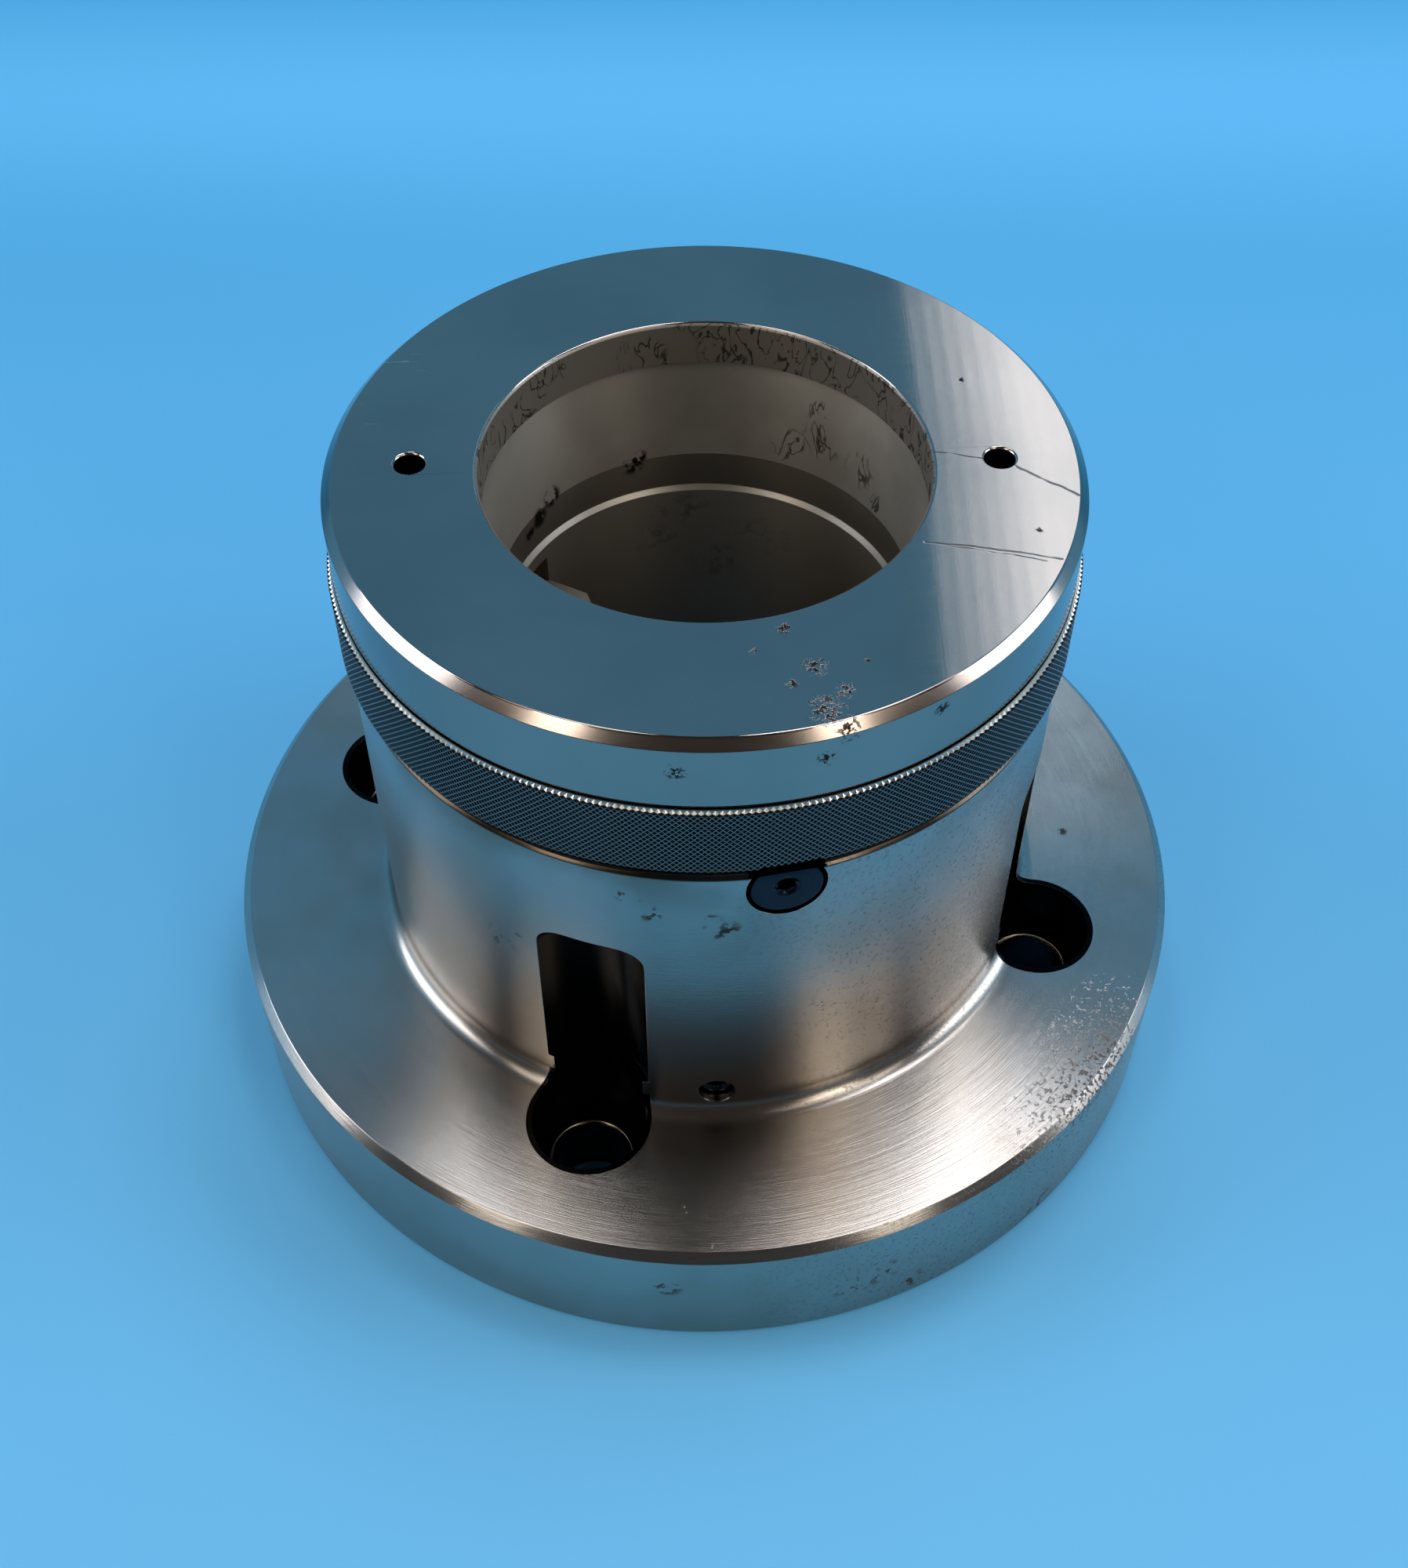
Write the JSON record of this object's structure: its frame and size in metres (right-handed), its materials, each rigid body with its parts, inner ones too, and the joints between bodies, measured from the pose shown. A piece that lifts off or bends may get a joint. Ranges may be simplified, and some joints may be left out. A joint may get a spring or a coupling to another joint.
{
  "type": "lathe collet chuck",
  "caption": "Dead-length collet chuck with a bolt-on flange, sliding closing sleeve, spring-loaded pusher and a knurled screw-on nose cap with a turning lock.",
  "frame": {"origin": "centre of the flange's back face, where it seats on the spindle nose", "axes": "+Z along the turning axis from the spindle to the nose cap, -Y through the side with the guide pin"},
  "size_m": [0.182, 0.182, 0.125],
  "materials": {
    "ground_steel": "turned and ground",
    "cap_steel": "ground bright",
    "sleeve_steel": "hardened, ground",
    "adapter_steel": "turned",
    "hardened_steel": "ground",
    "black_oxide_steel": "black oxide",
    "spring_steel": "oiled wire",
    "brass": "plain",
    "seal_rubber": "matte"
  },
  "bodies": {
    "housing": {"chuck_body": "ground_steel", "guide_pin": "hardened_steel", "guide_pin_set_screw": "black_oxide_steel", "lock_disc_spring": "spring_steel", "sleeve_wiper_seal": "seal_rubber", "sleeve_rear_seal": "seal_rubber"},
    "cap_lead": {"cap_seal": "seal_rubber"},
    "cap": {"nose_cap": "cap_steel"},
    "lock": {"cap_lock_screw": "black_oxide_steel"},
    "sleeve": {"closing_sleeve": "sleeve_steel", "collet_key": "hardened_steel", "collet_key_screws": "black_oxide_steel", "drawtube_adapter": "adapter_steel", "adapter_set_screws": "black_oxide_steel", "adapter_thread_pads": "brass", "adapter_seal": "seal_rubber", "spring_seat_washer": "spring_steel", "pusher_spring": "spring_steel"},
    "pusher": {"collet_pusher": "sleeve_steel", "pusher_seal": "seal_rubber"}
  },
  "joints": [
    {"name": "cap_lift", "type": "slide", "parent": "housing", "child": "cap_lead", "axis": [0, 0, 1], "range_m": [0, 0.009]},
    {"name": "cap_turn", "type": "hinge", "parent": "cap_lead", "child": "cap", "pos_m": [0, 0, 0.11], "axis": [0, 0, 1], "range_deg": [0, 1080]},
    {"name": "lock_turn", "type": "hinge", "parent": "housing", "child": "lock", "pos_m": [0.01206, -0.05673, 0.0904], "axis": [0.2079, -0.9781, 0], "range_deg": [0, 180]},
    {"name": "sleeve_slide", "type": "slide", "parent": "housing", "child": "sleeve", "axis": [0, 0, 1], "range_m": [-0.008, 0]},
    {"name": "pusher_slide", "type": "slide", "parent": "sleeve", "child": "pusher", "axis": [0, 0, 1], "range_m": [-0.005, 0], "stiffness_N_per_m": 6000, "springref_m": 0.004, "deforming": ["pusher_spring"]}
  ],
  "couplings": [
    {"joint": "cap_lift", "follows": "cap_turn", "m_per_rad": 0.00047746}
  ]
}
